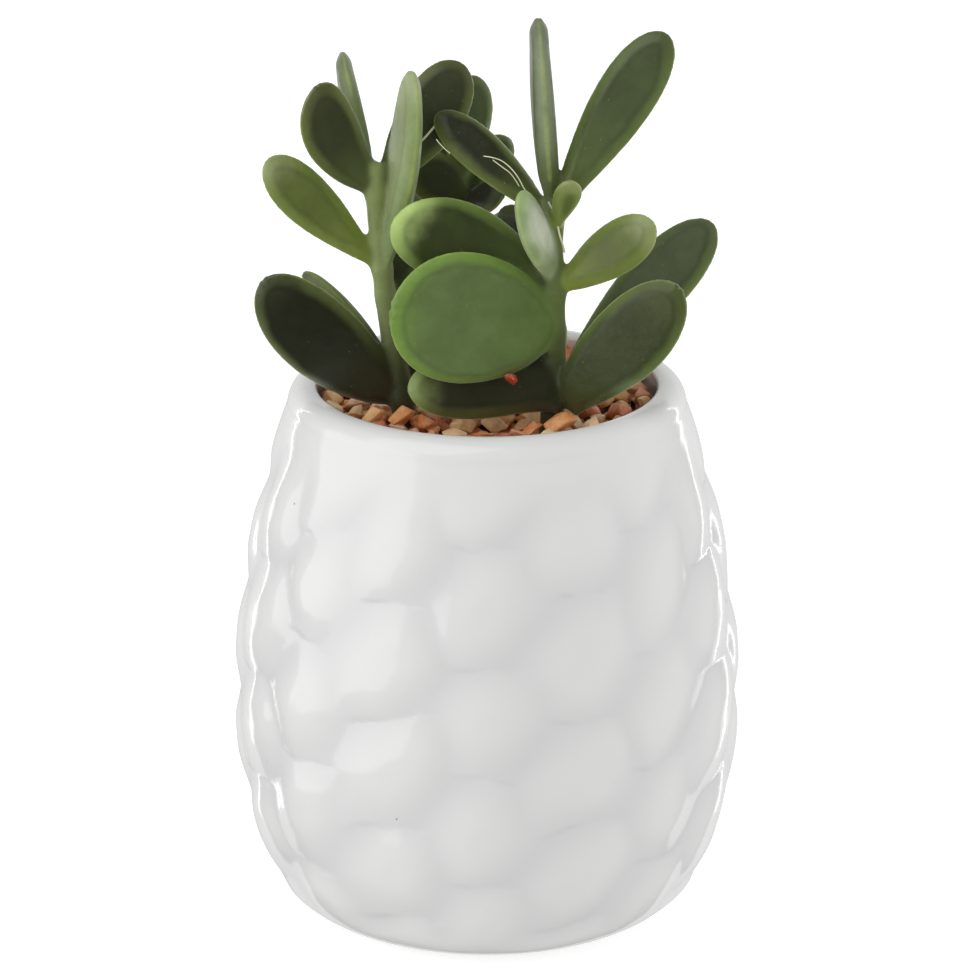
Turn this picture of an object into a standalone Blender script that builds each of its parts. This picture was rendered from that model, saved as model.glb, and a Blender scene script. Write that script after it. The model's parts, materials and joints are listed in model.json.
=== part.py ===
"""Small potted succulent: a dimpled white ceramic pot, soil, a gravel topping and three leafy stems.

Units are metres, +Z is up and the origin is the middle of the pot's foot.
The front, towards -Y, is the side that shows the two tall stems with the third one behind them.
"""
import math
import random
from collections import namedtuple

import bmesh
import bpy
from mathutils import Euler, Vector

MM = 0.001
PART_NAME = "potted_trumpet_jade"
GAP = 0.3 * MM

# Pot
POT_HEIGHT = 81.6 * MM
FOOT_RADIUS = 22.8 * MM
BELLY_RADIUS = 38.4 * MM
BELLY_HEIGHT = 31.0 * MM
RIM_RADIUS = 28.5 * MM
LIP_INSIDE = 1.0 * MM
LIP_DROP = 3.2 * MM
WALL = 3.6 * MM
FLOOR = 5.0 * MM
FLOOR_CORNER = 7.0 * MM
FOOT_ROUNDING = 0.34
FOOT_TOP = 6.0 * MM
POT_STEPS = 64
CAVITY_ROWS = 7
CORNER_STEPS = 3
LIP_STEPS = 3
OUTSIDE_ROWS = 22
FOOT_ROWS = 3

# Raised bumps round the pot: staggered columns, each bump a soft pillow.
# The bump reach is in pitches, the bump width in columns against a pitch.
BUMP_COLUMNS = 16
BUMP_PITCH = 17.0 * MM
BUMP_FIRST = 7.0 * MM
BUMP_DEPTH = 1.1 * MM
BUMP_ROUNDNESS = 2.2
BUMP_WIDTH = 1.12
BUMP_REACH = 0.56
BUMP_SOFTNESS = 0.4
BUMP_SLANT = 0.3
RELIEF_BOTTOM = (1.0 * MM, 7.0 * MM)
RELIEF_TOP = (67.0 * MM, 78.0 * MM)

# Filling
SOIL_TOP = 73.5 * MM
SLAB_TOP = 77.2 * MM
PEBBLE_TOP = 79.2 * MM
PEBBLE_DROP = 0.8 * MM
PEBBLE_COUNT = 80
PEBBLE_RADIUS = (2.2 * MM, 3.1 * MM)
PEBBLE_SEED = 7
PEBBLE_EDGE = 1.2 * MM
PEBBLE_LEAN = 0.5
FILL_STEPS = 32
HOLE_STEPS = 12

# Stems
STEM_FOOT = 62.0 * MM
STEM_SIDES = 2
LEAF_SIDES = 10
LEAF_RINGS = 9
STALK = 1.5
FACE_FLATNESS = 0.6
BASE_TAPER = 0.6
SHARP_ANGLE = math.radians(35.0)
MERGE = 0.01 * MM

Leaf = namedtuple("Leaf", "base tip width thick facing arch sweep widest stalk", defaults=(STALK,))
Stem = namedtuple("Stem", "name path radii leaves")

# Leaves in millimetres: base on the stem's line, tip, full width and thickness at the widest,
# the way the broad face looks, how far the middle bows that way and sideways, where it is widest
# and half the width where it leaves the stem
LEFT_STEM = Stem(
    "stem_left",
    ((-12.2, -7.5, 79.0), (-13.6, -7.5, 88.0), (-14.8, -7.5, 96.3), (-15.7, -7.5, 105.0),
     (-16.6, -7.5, 117.6)),
    (1.75, 1.6, 1.45, 1.35, 1.35),
    (
        Leaf((-12.6, -7.5, 80.8), (-32.4, -14.0, 101.3), 12.2, 3.4, (-0.1, -1.0, 0.1), -0.8, 1.2, 0.57),
        Leaf((-12.8, -6.5, 82.0), (-27.2, 2.5, 97.4), 8.0, 3.0, (0.6, 0.6, 0.5), 0.5, 0.0, 0.62),
        Leaf((-15.2, -7.5, 101.3), (-31.6, -11.5, 118.6), 7.6, 2.9, (-0.2, -0.9, 0.5), -0.8, 0.3, 0.68),
        Leaf((-16.4, -7.5, 112.8), (-24.2, -13.0, 130.0), 8.8, 3.3, (0.35, -0.95, 0.1), -1.0, 1.3, 0.60),
        Leaf((-17.1, -7.2, 115.5), (-21.0, -1.5, 132.0), 7.5, 2.9, (-1.0, -0.12, 0.0), 0.4, 0.0, 0.62),
        Leaf((-15.0, -7.8, 101.0), (-10.8, -8.5, 130.9), 8.6, 3.3, (-0.93, -0.36, 0.0), -0.7, 0.0, 0.62),
        Leaf((-16.0, -7.0, 112.5), (-3.6, 1.5, 129.5), 9.4, 3.0, (0.1, -0.95, 0.3), 0.6, -0.3, 0.66),
        Leaf((-12.6, -7.0, 80.8), (-12.0, 1.5, 101.3), 8.0, 3.0, (0.6, 0.75, 0.3), 0.8, 0.0, 0.62),
        Leaf((-14.8, -7.2, 96.5), (-11.0, 4.0, 102.5), 7.2, 2.9, (0.3, -0.3, 0.9), 0.5, 0.0, 0.64),
    ),
)
RIGHT_STEM = Stem(
    "stem_right",
    ((9.5, -11.0, 79.0), (9.8, -11.0, 88.0), (9.8, -11.0, 98.0), (9.6, -11.0, 106.0),
     (9.5, -11.0, 112.5)),
    (1.7, 1.6, 1.5, 1.35, 1.3),
    (
        Leaf((10.9, -12.2, 85.0), (-11.5, -16.8, 85.7), 9.6, 3.2, (-0.15, -0.95, 0.35), -0.6, 0.0, 0.58, 5.0),
        Leaf((10.6, -11.9, 81.8), (27.6, -20.0, 102.0), 11.4, 3.3, (-0.22, -0.95, 0.2), 0.8, -0.4, 0.60, 3.2),
        Leaf((9.8, -10.7, 82.5), (33.2, 3.0, 105.0), 10.0, 3.1, (-0.25, -0.88, 0.35), 0.6, 0.0, 0.66),
        Leaf((10.6, -12.0, 92.8), (-13.7, -21.0, 99.2), 19.4, 3.6, (0.12, -1.0, 0.12), -0.6, 0.0, 0.53),
        Leaf((9.7, -11.2, 99.0), (-13.6, -15.2, 110.3), 12.2, 3.3, (-0.1, -0.95, 0.3), -0.8, -0.9, 0.62),
        Leaf((9.7, -10.8, 98.8), (24.0, -16.5, 110.5), 7.8, 3.0, (0.0, -0.85, 0.5), 0.4, 0.0, 0.66),
        Leaf((9.7, -10.5, 99.0), (2.3, -4.5, 109.5), 7.0, 3.0, (-0.5, -0.8, 0.3), 0.4, 0.0, 0.62),
        Leaf((9.2, -11.6, 101.5), (4.6, -17.2, 115.2), 7.0, 3.1, (0.9, -0.42, 0.1), 0.3, 0.4, 0.58),
        Leaf((9.5, -11.0, 110.5), (7.3, -8.5, 138.7), 8.6, 3.3, (-1.0, -0.08, 0.0), 0.3, 0.0, 0.70),
        Leaf((9.3, -11.2, 110.0), (25.7, -6.5, 136.0), 8.8, 3.2, (-0.15, -0.98, 0.1), 0.6, 0.2, 0.68),
        Leaf((9.6, -11.4, 108.0), (12.2, -15.0, 116.4), 4.2, 3.0, (0.3, -0.9, 0.4), 0.2, 0.0, 0.72),
        Leaf((9.5, -10.8, 109.5), (-7.3, -4.5, 123.6), 6.8, 2.9, (0.3, -0.8, 0.4), 0.6, 0.0, 0.66),
        Leaf((9.8, -10.6, 86.0), (7.0, 2.0, 93.0), 7.4, 2.9, (0.0, -0.4, 0.9), 0.5, 0.0, 0.64),
    ),
)
BACK_STEM = Stem(
    "stem_back",
    ((-1.2, 5.0, 79.0), (-1.0, 5.2, 90.0), (-1.2, 5.4, 100.0), (-2.6, 5.4, 106.0),
     (-5.0, 5.4, 111.0)),
    (1.6, 1.5, 1.35, 1.25, 1.15),
    (
        Leaf((-4.4, 5.4, 109.5), (-1.9, 9.0, 125.8), 7.4, 3.0, (0.4, -0.9, 0.1), 0.5, 0.0, 0.66),
        Leaf((-4.0, 5.4, 108.6), (3.4, 12.5, 115.2), 5.8, 2.8, (0.3, -0.8, 0.4), 0.4, 0.0, 0.62),
        Leaf((-3.2, 5.4, 107.2), (2.6, 0.4, 110.0), 6.8, 2.8, (0.2, -0.7, 0.7), 0.4, 0.0, 0.62),
        Leaf((-2.2, 5.4, 106.0), (-11.6, 2.0, 114.0), 8.0, 2.9, (0.2, -0.8, 0.5), 0.5, -0.6, 0.62),
        Leaf((-4.6, 5.6, 110.0), (-9.5, 11.0, 125.0), 7.4, 3.0, (0.5, -0.8, 0.3), 0.5, 0.0, 0.66),
        Leaf((-1.2, 5.6, 96.0), (4.6, 17.0, 103.0), 8.0, 3.0, (-0.5, -0.6, 0.6), 0.6, 0.0, 0.66),
        Leaf((-1.2, 5.6, 95.0), (-12.0, 15.5, 106.0), 8.4, 3.1, (0.5, -0.6, 0.6), 0.6, 0.0, 0.66),
        Leaf((-1.2, 5.4, 84.0), (8.6, 19.0, 90.5), 9.0, 3.2, (-0.4, -0.5, 0.7), 0.6, 0.0, 0.64),
        Leaf((-1.2, 5.4, 83.5), (-15.5, 13.5, 93.0), 9.0, 3.2, (0.4, -0.5, 0.7), 0.6, 0.0, 0.64),
    ),
)
STEMS = (LEFT_STEM, RIGHT_STEM, BACK_STEM)


def clear_scene():
    """Remove whatever the start-up scene holds."""
    for obj in list(bpy.data.objects):
        bpy.data.objects.remove(obj, do_unlink=True)


def new_collection(name):
    collection = bpy.data.collections.new(name)
    bpy.context.scene.collection.children.link(collection)
    return collection


def add_object(name, mesh, collection):
    obj = bpy.data.objects.new(name, mesh)
    collection.objects.link(obj)
    return obj


def make_material(name, color, roughness):
    material = bpy.data.materials.new(name)
    material.use_nodes = True
    shader = material.node_tree.nodes["Principled BSDF"]
    shader.inputs["Base Color"].default_value = (*color, 1.0)
    shader.inputs["Roughness"].default_value = roughness
    shader.inputs["Metallic"].default_value = 0.0
    return material


def evaluated_mesh(obj):
    """A plain copy of an object's mesh with its modifiers or curve settings worked in."""
    bpy.context.view_layer.update()
    depsgraph = bpy.context.evaluated_depsgraph_get()
    return bpy.data.meshes.new_from_object(obj.evaluated_get(depsgraph))


def bake(obj):
    """Turn an object's modifiers into its own mesh."""
    mesh = evaluated_mesh(obj)
    obj.modifiers.clear()
    obj.data = mesh


def smoothstep(low, high, value):
    x = min(1.0, max(0.0, (value - low) / (high - low)))
    return x * x * (3.0 - 2.0 * x)


def smooth_min(a, b, softness):
    """The smaller of two values, with the change from one to the other rounded off."""
    near = max(softness - abs(a - b), 0.0) / softness
    return min(a, b) - near ** 3 * softness / 6.0


def outer_radius(z):
    """The pot's outline over the bumps: a rounded foot, the belly, and a slow curve in to the rim."""
    if z < BELLY_HEIGHT:
        below = 1.0 - z / BELLY_HEIGHT
        return FOOT_RADIUS + (BELLY_RADIUS - FOOT_RADIUS) * (1.0 - below ** 2) ** FOOT_ROUNDING
    above = (z - BELLY_HEIGHT) / (POT_HEIGHT - BELLY_HEIGHT)
    return BELLY_RADIUS - (BELLY_RADIUS - RIM_RADIUS) * above ** 2


def inner_radius(z):
    return outer_radius(z) - WALL


def cavity_outline(top, clearance):
    """Half outline of the pot's inside, floor first, drawn in by a clearance, up to a height."""
    corner_z = FLOOR + FLOOR_CORNER
    corner_x = inner_radius(corner_z) - FLOOR_CORNER
    reach = FLOOR_CORNER - clearance
    points = [(0.0, FLOOR + clearance)]
    for step in range(CORNER_STEPS):
        turn = 0.5 * math.pi * (1.0 - step / CORNER_STEPS)
        points.append((corner_x + reach * math.cos(turn), corner_z - reach * math.sin(turn)))
    rise = POT_HEIGHT - LIP_INSIDE - corner_z
    heights = [corner_z + rise * row / (CAVITY_ROWS - 1) for row in range(CAVITY_ROWS)]
    heights = [z for z in heights if z < top - MM] + [top]
    return points + [(inner_radius(z) - clearance, z) for z in heights]


def relief(angle, z):
    """How far the surface lies in from the outline: nothing on a bump's crown, most between bumps."""
    column = angle * BUMP_COLUMNS / math.tau
    nearest = 2.0
    for near_column in (round(column) - 1, round(column), round(column) + 1):
        shift = 0.5 * (near_column % 2)
        across = (column - near_column) / BUMP_WIDTH
        up = (z - BUMP_FIRST) / BUMP_PITCH - shift
        up -= round(up)
        away = math.sqrt(across ** 2 + up ** 2 - BUMP_SLANT * across * up) / BUMP_REACH
        nearest = smooth_min(nearest, away, BUMP_SOFTNESS)
    hollow = min(1.0, nearest) ** BUMP_ROUNDNESS
    fade = smoothstep(*RELIEF_BOTTOM, z) * (1.0 - smoothstep(*RELIEF_TOP, z))
    return BUMP_DEPTH * hollow * fade


def pot_profile():
    """Half outline of the pot, from the floor's middle up the inside, over the lip and down outside."""
    inside_z = POT_HEIGHT - LIP_INSIDE
    lip_z = POT_HEIGHT - LIP_DROP
    points = cavity_outline(inside_z, 0.0)
    crest = inner_radius(inside_z) + LIP_INSIDE
    for step in range(1, LIP_STEPS):
        turn = 0.5 * math.pi * step / LIP_STEPS
        points.append((crest - LIP_INSIDE * math.cos(turn), inside_z + LIP_INSIDE * math.sin(turn)))
    reach = outer_radius(lip_z) - crest
    for step in range(LIP_STEPS):
        turn = 0.5 * math.pi * step / LIP_STEPS
        points.append((crest + reach * math.sin(turn), lip_z + LIP_DROP * math.cos(turn)))
    for row in range(OUTSIDE_ROWS):
        z = lip_z - (lip_z - FOOT_TOP) * row / (OUTSIDE_ROWS - 1)
        points.append((outer_radius(z), z))
    for row in range(1, FOOT_ROWS + 1):
        z = FOOT_TOP * (1.0 - row / (FOOT_ROWS + 1)) ** 2
        points.append((outer_radius(z), z))
    points.append((FOOT_RADIUS, 0.0))
    points.append((0.0, 0.0))
    return points


def turned_mesh(name, profile, steps, collection):
    """Turn a half outline round +Z into a closed solid."""
    mesh = bpy.data.meshes.new(name)
    edges = [(i, i + 1) for i in range(len(profile) - 1)]
    mesh.from_pydata([(x, 0.0, z) for x, z in profile], edges, [])
    obj = add_object(name, mesh, collection)
    screw = obj.modifiers.new("turn", "SCREW")
    screw.axis = "Z"
    screw.angle = math.tau
    screw.steps = steps
    screw.render_steps = steps
    screw.use_merge_vertices = True
    screw.merge_threshold = MERGE
    bake(obj)
    return obj


def make_pot(collection):
    pot = turned_mesh("pot", pot_profile(), POT_STEPS, collection)
    for vertex in pot.data.vertices:
        x, y, z = vertex.co
        radius = math.hypot(x, y)
        if radius > inner_radius(z) + 0.5 * WALL and z > 0.0:
            inward = relief(math.atan2(y, x), z)
            scale = (radius - inward) / radius
            vertex.co = (x * scale, y * scale, z)
    return pot


def soil_profile():
    """Half outline of the soil, its flat top first, then down the wall to the floor."""
    return [(0.0, SOIL_TOP)] + cavity_outline(SOIL_TOP, GAP)[::-1]


def slab_profile():
    """Half outline of the gravel under the top layer of pebbles."""
    bottom = SOIL_TOP + GAP
    return [(0.0, SLAB_TOP), (inner_radius(SLAB_TOP) - GAP, SLAB_TOP),
            (inner_radius(bottom) - GAP, bottom), (0.0, bottom)]


def cut_stem_holes(obj, cutters):
    """Plain round holes that the stems stand in."""
    depth = POT_HEIGHT - STEM_FOOT + GAP
    for stem in STEMS:
        x, y, _ = stem.path[0]
        radius = stem.radii[0] * MM + GAP
        shape = bmesh.new()
        bmesh.ops.create_cone(shape, cap_ends=True, segments=HOLE_STEPS, radius1=radius, radius2=radius,
                              depth=depth)
        bmesh.ops.translate(shape, verts=shape.verts, vec=(x * MM, y * MM, POT_HEIGHT - 0.5 * depth))
        mesh = bpy.data.meshes.new("stem_hole")
        shape.to_mesh(mesh)
        shape.free()
        cutter = add_object("hole_cutter", mesh, cutters)
        cut = obj.modifiers.new("hole", "BOOLEAN")
        cut.operation = "DIFFERENCE"
        cut.solver = "EXACT"
        cut.object = cutter
        bake(obj)
        bpy.data.objects.remove(cutter, do_unlink=True)


def make_soil(parts, cutters):
    soil = turned_mesh("soil", soil_profile(), FILL_STEPS, parts)
    cut_stem_holes(soil, cutters)
    return soil


def pebble_mesh(rng, x, y, top):
    """One angular pebble: a twelve-cornered stone, squashed and turned at random, its crown at top."""
    size = rng.uniform(*PEBBLE_RADIUS)
    stretch = Vector((rng.uniform(0.85, 1.2), rng.uniform(0.75, 1.0), rng.uniform(0.6, 0.85))) * size
    lean = Euler((rng.uniform(-PEBBLE_LEAN, PEBBLE_LEAN), rng.uniform(-PEBBLE_LEAN, PEBBLE_LEAN), 0.0))
    turn = Euler((0.0, 0.0, rng.uniform(0.0, math.tau))).to_matrix() @ lean.to_matrix()
    shape = bmesh.new()
    bmesh.ops.create_icosphere(shape, subdivisions=1, radius=1.0)
    for vertex in shape.verts:
        vertex.co = turn @ (vertex.co * rng.uniform(0.88, 1.08) * stretch)
    crown = max(vertex.co.z for vertex in shape.verts)
    bmesh.ops.translate(shape, verts=shape.verts, vec=(x, y, top - crown))
    mesh = bpy.data.meshes.new("pebble")
    shape.to_mesh(mesh)
    shape.free()
    return mesh


def make_gravel(parts, cutters):
    """A bed of pebbles: a slab that follows the wall, with the pebbles of the top layer fused on it."""
    gravel = turned_mesh("gravel", slab_profile(), FILL_STEPS, parts)
    rng = random.Random(PEBBLE_SEED)
    pebbles = new_collection("pebbles")
    golden = math.pi * (3.0 - math.sqrt(5.0))
    reach = inner_radius(PEBBLE_TOP) - GAP
    for index in range(PEBBLE_COUNT):
        distance = (reach - PEBBLE_EDGE) * math.sqrt((index + 0.5) / PEBBLE_COUNT)
        angle = index * golden
        top = PEBBLE_TOP - rng.uniform(0.0, PEBBLE_DROP)
        mesh = pebble_mesh(rng, distance * math.cos(angle), distance * math.sin(angle), top)
        for vertex in mesh.vertices:
            radius = math.hypot(vertex.co.x, vertex.co.y)
            if radius > reach:
                vertex.co.x *= reach / radius
                vertex.co.y *= reach / radius
            vertex.co.z = max(vertex.co.z, SOIL_TOP + 2.0 * GAP)
        add_object(f"pebble_{index}", mesh, pebbles)
    join_collection(gravel, pebbles)
    cut_stem_holes(gravel, cutters)
    return gravel


def join_collection(obj, collection):
    """Fuse every object of a collection into one solid with the given object."""
    union = obj.modifiers.new("join", "BOOLEAN")
    union.operation = "UNION"
    union.operand_type = "COLLECTION"
    union.collection = collection
    union.solver = "MANIFOLD"
    bake(obj)
    for used in list(collection.objects):
        bpy.data.objects.remove(used, do_unlink=True)
    bpy.data.collections.remove(collection)


def leaf_mesh(leaf):
    """A thick paddle: narrow where it leaves the stem, widest past the middle, with a rounded tip."""
    base = Vector(leaf.base) * MM
    along = Vector(leaf.tip) * MM - base
    length = along.length
    forward = along.normalized()
    facing = Vector(leaf.facing)
    facing = (facing - forward * facing.dot(forward)).normalized()
    side = facing.cross(forward)
    power = math.log(0.5) / math.log(leaf.widest)
    shape = bmesh.new()
    bmesh.ops.create_uvsphere(shape, u_segments=LEAF_SIDES, v_segments=LEAF_RINGS, radius=1.0)
    for vertex in shape.verts:
        t = 0.5 * (1.0 + vertex.co.z)
        ring = math.hypot(vertex.co.x, vertex.co.y)
        if t in (0.0, 1.0):
            vertex.co = base + forward * length * t
            continue
        across = vertex.co.x / ring
        upward = vertex.co.y / ring
        grown = t ** power
        blade = 2.0 * math.sqrt(grown * (1.0 - grown))
        stalk = leaf.stalk * (1.0 - t) ** 3 * min(1.0, 3.0 * ring)
        half_width = math.hypot(0.5 * leaf.width * blade, stalk) * MM
        swell = 0.8 + 0.2 * math.sin(math.pi * min(1.0, 1.2 * t))
        half_thick = 0.5 * leaf.thick * MM * swell * min(1.0, 1.35 * ring) ** BASE_TAPER
        rounded = math.copysign(abs(upward) ** FACE_FLATNESS, upward)
        bow = 4.0 * t * (1.0 - t) * MM
        vertex.co = (base + forward * length * t
                     + side * (across * half_width + leaf.sweep * bow)
                     + facing * (rounded * half_thick + leaf.arch * bow))
    bmesh.ops.recalc_face_normals(shape, faces=shape.faces)
    mesh = bpy.data.meshes.new("leaf")
    shape.to_mesh(mesh)
    shape.free()
    return mesh


def stem_mesh(stem, collection):
    """A tapered stem from its foot in the soil to its top joint, closed at both ends."""
    x, y, _ = stem.path[0]
    points = ((x, y, STEM_FOOT / MM),) + stem.path
    radii = (stem.radii[0],) + stem.radii
    curve = bpy.data.curves.new("stem_curve", "CURVE")
    curve.dimensions = "3D"
    curve.bevel_depth = MM
    curve.bevel_resolution = STEM_SIDES
    curve.use_fill_caps = True
    spline = curve.splines.new("POLY")
    spline.points.add(len(points) - 1)
    for point, place, radius in zip(spline.points, points, radii):
        point.co = (place[0] * MM, place[1] * MM, place[2] * MM, 1.0)
        point.radius = radius
    guide = add_object("stem_guide", curve, collection)
    mesh = evaluated_mesh(guide)
    bpy.data.objects.remove(guide, do_unlink=True)
    shape = bmesh.new()
    shape.from_mesh(mesh)
    bmesh.ops.remove_doubles(shape, verts=shape.verts, dist=MERGE)
    bmesh.ops.recalc_face_normals(shape, faces=shape.faces)
    shape.to_mesh(mesh)
    shape.free()
    return mesh


def make_stem(stem, parts):
    """A stem with its leaves, fused into one solid."""
    obj = add_object(stem.name, stem_mesh(stem, parts), parts)
    leaves = new_collection(stem.name + "_leaves")
    for index, leaf in enumerate(stem.leaves):
        add_object(f"{stem.name}_leaf_{index}", leaf_mesh(leaf), leaves)
    join_collection(obj, leaves)
    return obj


def finish(obj, material):
    obj.data.name = obj.name
    obj.data.materials.clear()
    obj.data.materials.append(material)
    obj.data.shade_smooth()
    obj.data.set_sharp_from_angle(angle=SHARP_ANGLE)


def main():
    clear_scene()
    parts = new_collection(PART_NAME)
    cutters = new_collection("cutters")
    glaze = make_material("white_glaze", (0.86, 0.86, 0.86), 0.12)
    earth = make_material("soil", (0.06, 0.04, 0.03), 0.95)
    stones = make_material("gravel", (0.62, 0.33, 0.17), 0.45)
    greens = make_material("leaf_green", (0.13, 0.22, 0.07), 0.38)
    finish(make_pot(parts), glaze)
    finish(make_soil(parts, cutters), earth)
    finish(make_gravel(parts, cutters), stones)
    for stem in STEMS:
        finish(make_stem(stem, parts), greens)


main()
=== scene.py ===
"""Looks of the potted trumpet jade: glazed pot, soil, gravel topping and three leafy stems.

Shapes are worked out in millimetres and written to the meshes in metres. The front is -Y and +Z is up.
"""

import json
import math
import random
from collections import namedtuple

import bmesh
import bpy
import numpy as np
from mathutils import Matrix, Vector
from mathutils.bvhtree import BVHTree

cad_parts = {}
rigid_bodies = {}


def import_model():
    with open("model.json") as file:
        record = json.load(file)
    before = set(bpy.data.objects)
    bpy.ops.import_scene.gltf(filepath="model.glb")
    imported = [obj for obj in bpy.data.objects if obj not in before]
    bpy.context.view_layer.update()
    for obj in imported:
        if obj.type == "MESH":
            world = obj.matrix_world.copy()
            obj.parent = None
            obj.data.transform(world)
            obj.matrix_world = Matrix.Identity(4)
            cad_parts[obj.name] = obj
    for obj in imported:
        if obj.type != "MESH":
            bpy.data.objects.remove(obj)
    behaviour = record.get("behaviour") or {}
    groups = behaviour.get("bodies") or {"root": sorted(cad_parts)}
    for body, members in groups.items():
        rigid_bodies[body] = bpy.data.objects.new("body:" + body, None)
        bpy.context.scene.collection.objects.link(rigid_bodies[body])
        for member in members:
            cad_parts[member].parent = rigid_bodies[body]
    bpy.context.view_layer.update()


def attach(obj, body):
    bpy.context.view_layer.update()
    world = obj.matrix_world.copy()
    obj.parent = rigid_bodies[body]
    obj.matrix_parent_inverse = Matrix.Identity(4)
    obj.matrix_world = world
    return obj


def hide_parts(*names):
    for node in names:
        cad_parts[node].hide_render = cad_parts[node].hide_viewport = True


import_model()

MM = 0.001
# Millimetres that stand for next to nothing and for far away
TINY = 0.01
FAR = 99.0

# Pot, millimetres
POT_HEIGHT = 81.6
FOOT_RADIUS = 22.8
BELLY_RADIUS = 38.4
BELLY_HEIGHT = 31.0
RIM_RADIUS = 28.5
LIP_INSIDE = 1.0
LIP_DROP = 3.2
WALL = 3.6
FLOOR = 5.0
FLOOR_CORNER = 7.0
FOOT_ROUNDING = 0.34
FOOT_RING = 3.0

# Fineness of the pot's surface; below FOOT_TOP the rows crowd towards the foot
POT_TURNS = 288
INSIDE_ROWS = 24
CORNER_STEPS = 8
LIP_STEPS = 12
OUTSIDE_ROWS = 150
FOOT_TOP = 6.0
FOOT_ROWS = 14
FOOT_CROWDING = 2.4

# Bumps of the pot: columns, millimetres from bump to bump, to the first and into a hollow; then where the
# slope into a hollow starts and ends, how softly bumps blend, their lean and their straying
BUMPS = {
    "Columns": 16.0,
    "Pitch": 17.0,
    "First row": 7.0,
    "Depth": 1.15,
    "Crown": 0.2,
    "Reach": 1.15,
    "Softness": 0.3,
    "Slant": 0.65,
    "Unevenness": 0.5,
}
# A bump's width in columns, its reach on that scale, waves of straying a metre, heights of the relief's ends
BUMP_WIDTH = 1.12
BUMP_REACH = 0.56
STRAY_WAVES = 60.0
RELIEF_BOTTOM = (1.0, 7.0)
RELIEF_TOP = (67.0, 78.0)

# Filling, millimetres: the gap left to the pot and to the stems, and heights
GAP = 0.3
SOIL_TOP = 73.5
PEBBLE_TOP = 79.6
STEM_FOOT = 62.0

# Half width of a leaf's base, fineness of the skin, a leaf's rim, and heights where a stem turns from
# painted shade at its foot to its own colour
PETIOLE = 1.5
VOXEL = 0.28
BEVEL = 1.7
FOOT_SHADE = (82.0, 99.0)

# A leaf is bowed by arch towards the side it faces and by sweep across; widest is the share of its length
# where it is widest
Leaf = namedtuple("Leaf", "base tip width thick facing arch sweep widest tone stalk", defaults=(PETIOLE,))
Stem = namedtuple("Stem", "name path radii leaves tone")
Tone = namedtuple("Tone", "face rim base tip")

# Pale threads that cling to the leaves: width and corners, millimetres
THREADS = (
    (0.16, ((-0.5, -13.2, 119.6), (1.4, -13.2, 119.4), (3.2, -13.4, 118.2), (4.6, -13.6, 116.4),
            (5.4, -13.6, 114.6), (6.6, -13.4, 113.0))),
    (0.14, ((0.8, -13.0, 119.0), (2.2, -13.4, 118.0), (3.6, -13.4, 117.0), (4.6, -13.4, 115.2))),
    (0.14, ((-7.3, -10.6, 121.4), (-6.4, -10.8, 120.2), (-5.3, -11.0, 119.4))),
    (0.34, ((-10.6, -5.4, 118.6), (-9.6, -5.4, 119.6), (-8.6, -5.2, 120.6), (-7.6, -5.0, 121.8))),
    (0.3, ((8.8, -12.4, 112.6), (10.0, -13.0, 110.6), (10.3, -13.2, 108.2), (10.9, -12.8, 106.4),
           (11.2, -12.4, 105.0))),
)

# Colours of the leaves as display values: middle of the face, rim, base and tip; a lighter rim is
# painted light through the thin edge and a paler, greyer tip painted sheen
TONES = {
    "night": Tone((42, 46, 22), (106, 120, 52), (100, 118, 48), (44, 46, 24)),
    "shade": Tone((36, 39, 20), (104, 116, 62), (48, 52, 26), (54, 58, 34)),
    "dark": Tone((58, 64, 35), (108, 118, 54), (84, 98, 44), (74, 78, 48)),
    # Bright tip: painted sheen
    "brown": Tone((58, 71, 27), (118, 144, 64), (76, 94, 38), (196, 224, 130)),
    # Dark face in the shade of the leaf above and a light tip: painted shade and painted light
    "low": Tone((52, 52, 27), (94, 106, 52), (46, 50, 26), (150, 168, 96)),
    "deep": Tone((60, 70, 32), (104, 122, 54), (60, 72, 32), (76, 86, 44)),
    "dusk": Tone((78, 91, 52), (106, 124, 62), (102, 120, 58), (80, 89, 56)),
    # Whitish tip: painted sheen
    "light": Tone((98, 112, 46), (128, 146, 66), (136, 152, 62), (152, 160, 112)),
    # Grey-green face, partly the leaf's own colour and partly painted sheen
    "grey": Tone((102, 114, 78), (116, 130, 86), (108, 122, 70), (110, 118, 88)),
    # Pale grey-green face: painted sheen
    "pale": Tone((158, 172, 124), (128, 148, 84), (118, 140, 72), (160, 170, 130)),
    # Nearly white face: painted reflection on the leaf's lit side
    "bloom": Tone((196, 204, 180), (138, 164, 96), (124, 146, 80), (150, 172, 112)),
    # Light greyish rim: painted reflection on the leaf's lit side
    "edge": Tone((84, 94, 58), (138, 148, 116), (92, 106, 58), (96, 104, 78)),
    "broad": Tone((100, 122, 66), (122, 158, 56), (90, 112, 48), (110, 142, 54)),
}
# Colours of the stems, in the same order; the left stem's lighter colour is painted sheen
SHEEN_LIT_STEM_TONE = Tone((138, 152, 92), (150, 164, 104), (138, 152, 92), (138, 152, 92))
GREEN_STEM_TONE = Tone((98, 115, 58), (124, 140, 78), (98, 115, 58), (98, 115, 58))
# Darker foot: painted shade low down among the leaves
STEM_FOOT_SHADE_TONE = Tone((58, 64, 36), (72, 80, 44), (58, 64, 36), (58, 64, 36))

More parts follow.
